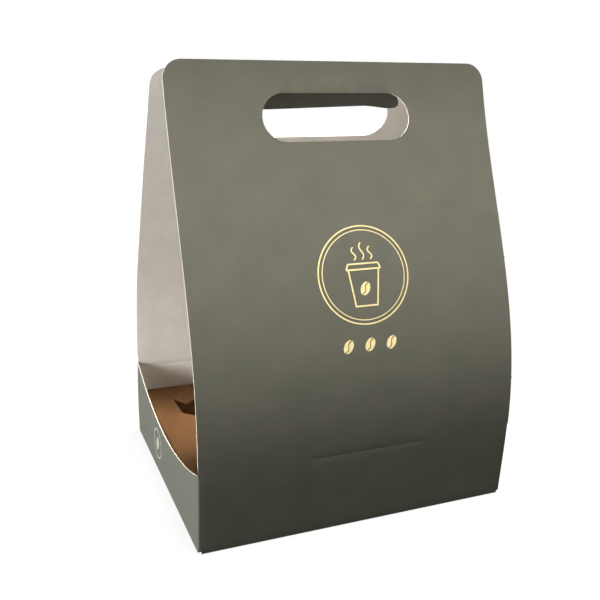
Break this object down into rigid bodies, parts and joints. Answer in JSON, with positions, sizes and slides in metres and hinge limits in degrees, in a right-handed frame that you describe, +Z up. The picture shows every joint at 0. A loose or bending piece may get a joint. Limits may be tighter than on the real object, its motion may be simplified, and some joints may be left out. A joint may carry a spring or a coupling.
{
  "type": "cardboard cup carrier",
  "caption": "Folded board cup carrier with a hand hole in each leaning panel, low dipped side walls and a kraft tray with cup holes.",
  "frame": {"origin": "middle of the underside, on the surface that the carrier stands on", "axes": "+X along the front panel, +Y from front to back, +Z up"},
  "size_m": [0.22, 0.1872, 0.2928],
  "materials": {
    "printed_board": "satin printed outside, white inside",
    "kraft_board": "uncoated kraft"
  },
  "bodies": {
    "root": {"sleeve": "printed_board", "cup_tray": "kraft_board"}
  },
  "joints": []
}
